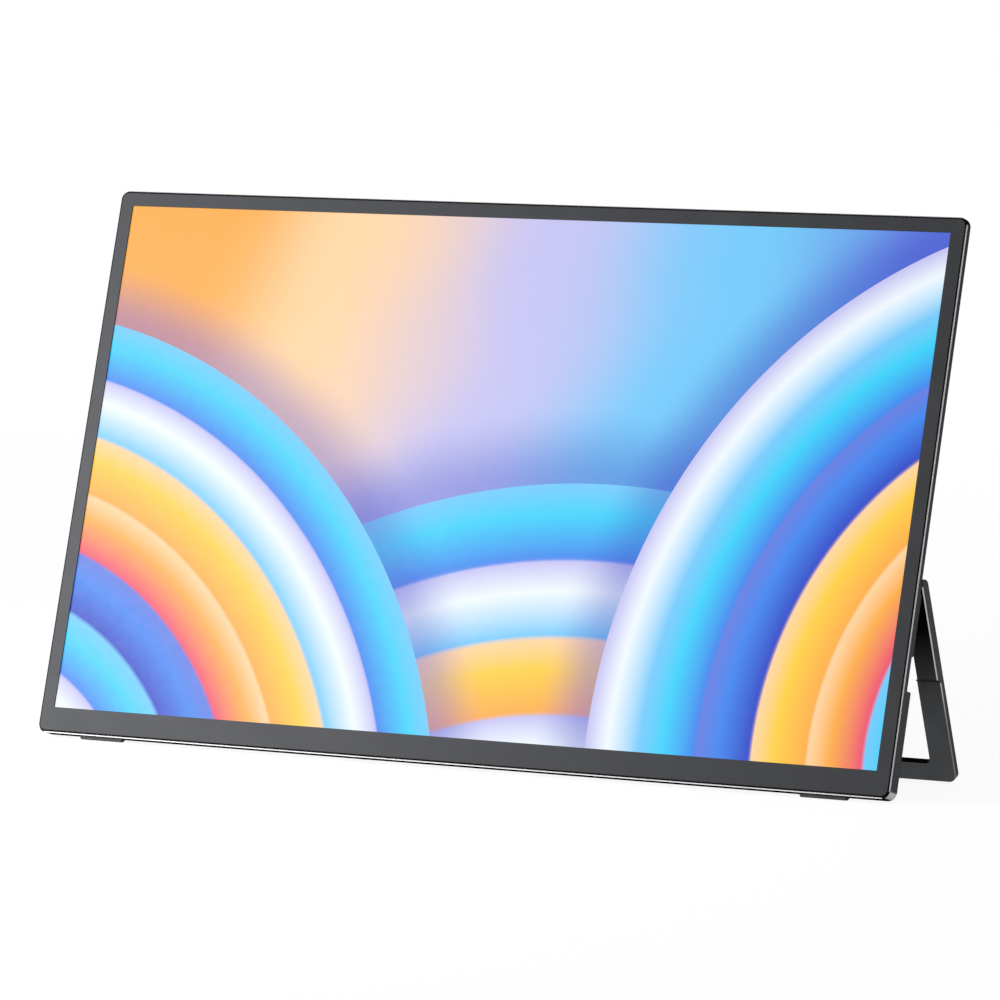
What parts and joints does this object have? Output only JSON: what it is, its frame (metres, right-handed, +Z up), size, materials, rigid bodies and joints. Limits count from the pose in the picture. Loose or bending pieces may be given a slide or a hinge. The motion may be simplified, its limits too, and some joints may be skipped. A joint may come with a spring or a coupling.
{
  "type": "portable monitor",
  "caption": "Slim portable monitor with a metal frame, thick lower housing and a fold-out U-shaped kickstand hinged at its sides.",
  "frame": {"origin": "middle of the bounding box on the surface that the feet and stand rest on", "axes": "+X to the viewer's right, +Y backwards from the screen, +Z up"},
  "size_m": [0.424, 0.0806, 0.2391],
  "materials": {
    "bezel_grey": "fine matte grey moulding",
    "screen": "anti-glare panel glass",
    "tape": "black foam tape",
    "film": "white diffusing sheet",
    "clear_guide": "clear light guide",
    "board": "green solder mask",
    "panel_steel": "pressed steel sheet",
    "frame_metal": "dark grey anodised, polished bevel",
    "cover_metal": "dark grey anodised, fine blasted",
    "screw_steel": "blackened steel",
    "port_steel": "plated steel shell",
    "black_plastic": "moulded black plastic",
    "cable": "amber flat flex",
    "hinge_steel": "dark plated steel",
    "rubber": "black soft rubber",
    "button_plastic": "dark moulded plastic"
  },
  "bodies": {
    "display": {"front_bezel": "bezel_grey", "lcd_panel": "screen", "bezel_tape": "tape", "optical_films": "film", "reflector_sheet": "film", "light_guide": "clear_guide", "main_board": "board", "driver_board": "board", "led_strip": "board", "panel_tray": "panel_steel", "mid_frame": "frame_metal", "rear_cover": "cover_metal", "cover_screws": "screw_steel", "board_screws": "screw_steel", "hinge_rivets": "screw_steel", "usb_c_port_1": "port_steel", "usb_c_port_2": "port_steel", "mini_hdmi_port": "port_steel", "port_tongues": "black_plastic", "board_parts": "black_plastic", "button_switches": "black_plastic", "speaker_left": "black_plastic", "speaker_right": "black_plastic", "display_ribbon": "cable", "panel_flex": "cable", "speaker_lead_left": "cable", "speaker_lead_right": "cable", "hinge_bracket_left": "hinge_steel", "hinge_bracket_right": "hinge_steel", "friction_washer_left": "hinge_steel", "friction_washer_right": "hinge_steel", "foot_left": "rubber", "foot_right": "rubber"},
    "stand": {"stand_frame": "frame_metal", "stand_strip": "rubber", "hinge_pin_left": "hinge_steel", "hinge_pin_right": "hinge_steel", "retaining_clip_left": "hinge_steel", "retaining_clip_right": "hinge_steel"},
    "power": {"power_button": "button_plastic"},
    "rocker": {"menu_rocker": "button_plastic"}
  },
  "joints": [
    {"name": "stand_fold", "type": "hinge", "parent": "display", "child": "stand", "pos_m": [0, -0.00531, 0.08727], "axis": [1, 0, 0], "range_deg": [-36.73, 53.27]},
    {"name": "power_press", "type": "slide", "parent": "display", "child": "power", "axis": [0, -0.9511, 0.309], "range_m": [0, 0.0004], "stiffness_N_per_m": 800},
    {"name": "menu_rock", "type": "hinge", "parent": "display", "child": "rocker", "pos_m": [-0.14, -0.02704, 0.02268], "axis": [1, 0, 0], "range_deg": [-3, 3], "stiffness_Nm_per_rad": 0.2}
  ]
}
